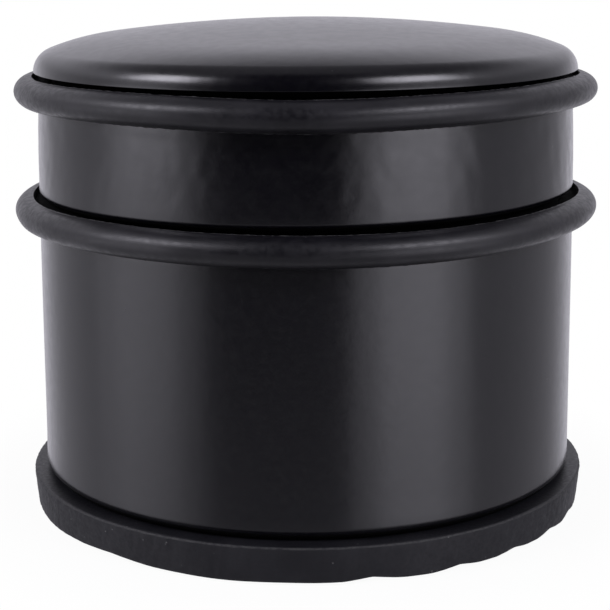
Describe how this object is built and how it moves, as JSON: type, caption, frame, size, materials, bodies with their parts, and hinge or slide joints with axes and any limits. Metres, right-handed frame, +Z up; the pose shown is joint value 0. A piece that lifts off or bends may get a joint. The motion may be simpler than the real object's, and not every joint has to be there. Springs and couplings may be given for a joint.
{
  "type": "door stop",
  "caption": "Weighted floor door stop: steel drum with a domed lid, two rubber bumper rings and a rubber foot.",
  "frame": {"origin": "centre of the foot's face that rests on the floor", "axes": "+Z up, along the drum's axis; the part is round, so +X and +Y are any two horizontal directions"},
  "size_m": [0.098, 0.098, 0.0813],
  "materials": {
    "black_steel": "satin black powder coat on sheet steel",
    "ring_rubber": "smooth moulded rubber",
    "foot_rubber": "matt, slightly grainy rubber",
    "bond": "cured contact adhesive",
    "bare_steel": "plain steel sheet",
    "concrete": "cast concrete"
  },
  "bodies": {
    "root": {"domed_lid": "black_steel", "drum_shell": "black_steel", "upper_bumper_ring": "ring_rubber", "lower_bumper_ring": "ring_rubber", "rubber_foot": "foot_rubber", "foot_adhesive": "bond", "base_plate": "bare_steel", "ballast": "concrete"}
  },
  "joints": []
}
